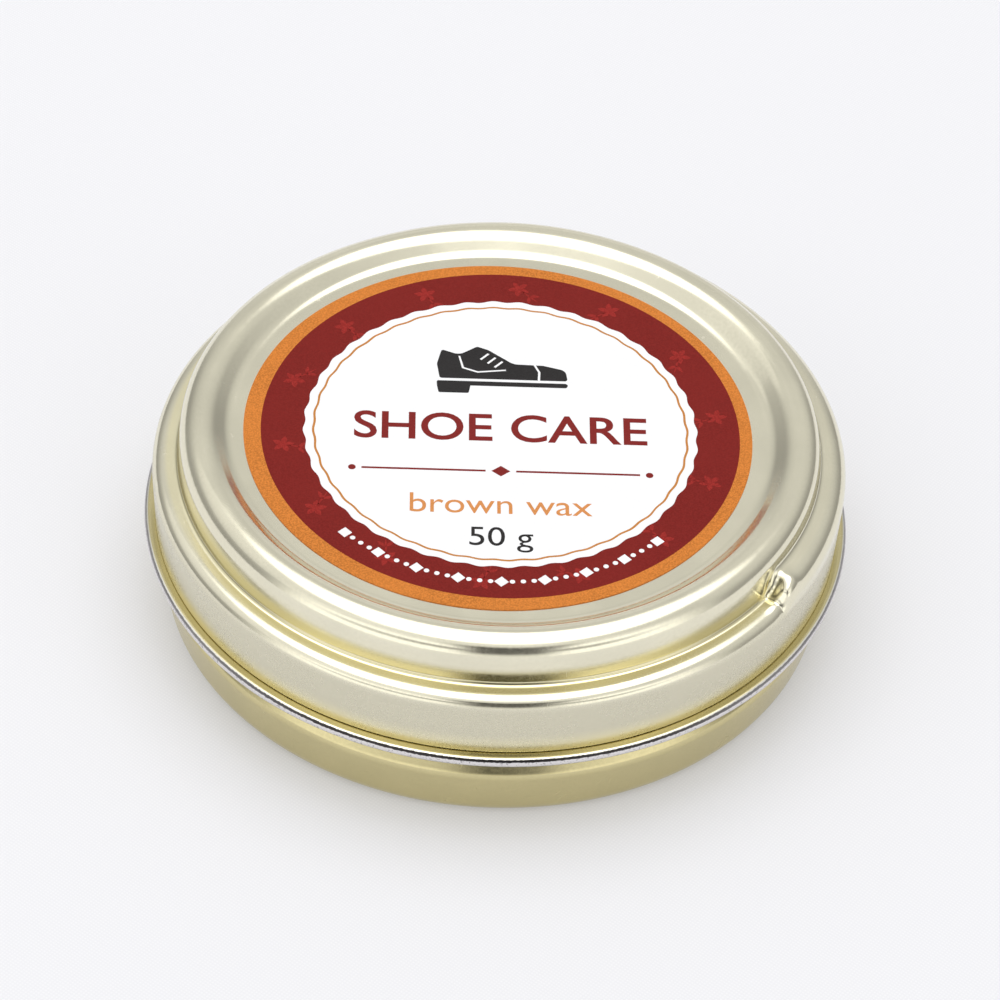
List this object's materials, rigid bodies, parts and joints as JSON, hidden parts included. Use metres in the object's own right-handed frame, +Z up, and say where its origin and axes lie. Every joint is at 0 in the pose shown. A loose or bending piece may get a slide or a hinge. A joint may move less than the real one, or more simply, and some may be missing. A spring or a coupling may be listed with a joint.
{
  "type": "shoe polish tin",
  "caption": "Round shallow metal tin of wax shoe polish with a twist-to-open slip lid, a ledge round its middle and a round paper label on top.",
  "frame": {"origin": "centre of the tin on the surface it stands on", "axes": "+Z up along the tin's axis; -Y is the front, where the label reads upright; +X is the right, where the lid's cam step is"},
  "size_m": [0.0752, 0.0752, 0.0229],
  "materials": {
    "base_plate": "gold-lacquered tinplate, satin",
    "lid_plate": "pale gold-lacquered tinplate, satin",
    "label_print": "printed paper, semi-matt",
    "polish_wax": "smooth brown wax, soft sheen"
  },
  "bodies": {
    "base": {"tin_base": "base_plate", "polish_cake": "polish_wax"},
    "lid": {"tin_lid": "lid_plate", "top_label": "label_print"}
  },
  "joints": [
    {"name": "lid_lift", "type": "slide", "parent": "base", "child": "lid", "axis": [0, 0, 1], "range_m": [0, 0.04]}
  ]
}
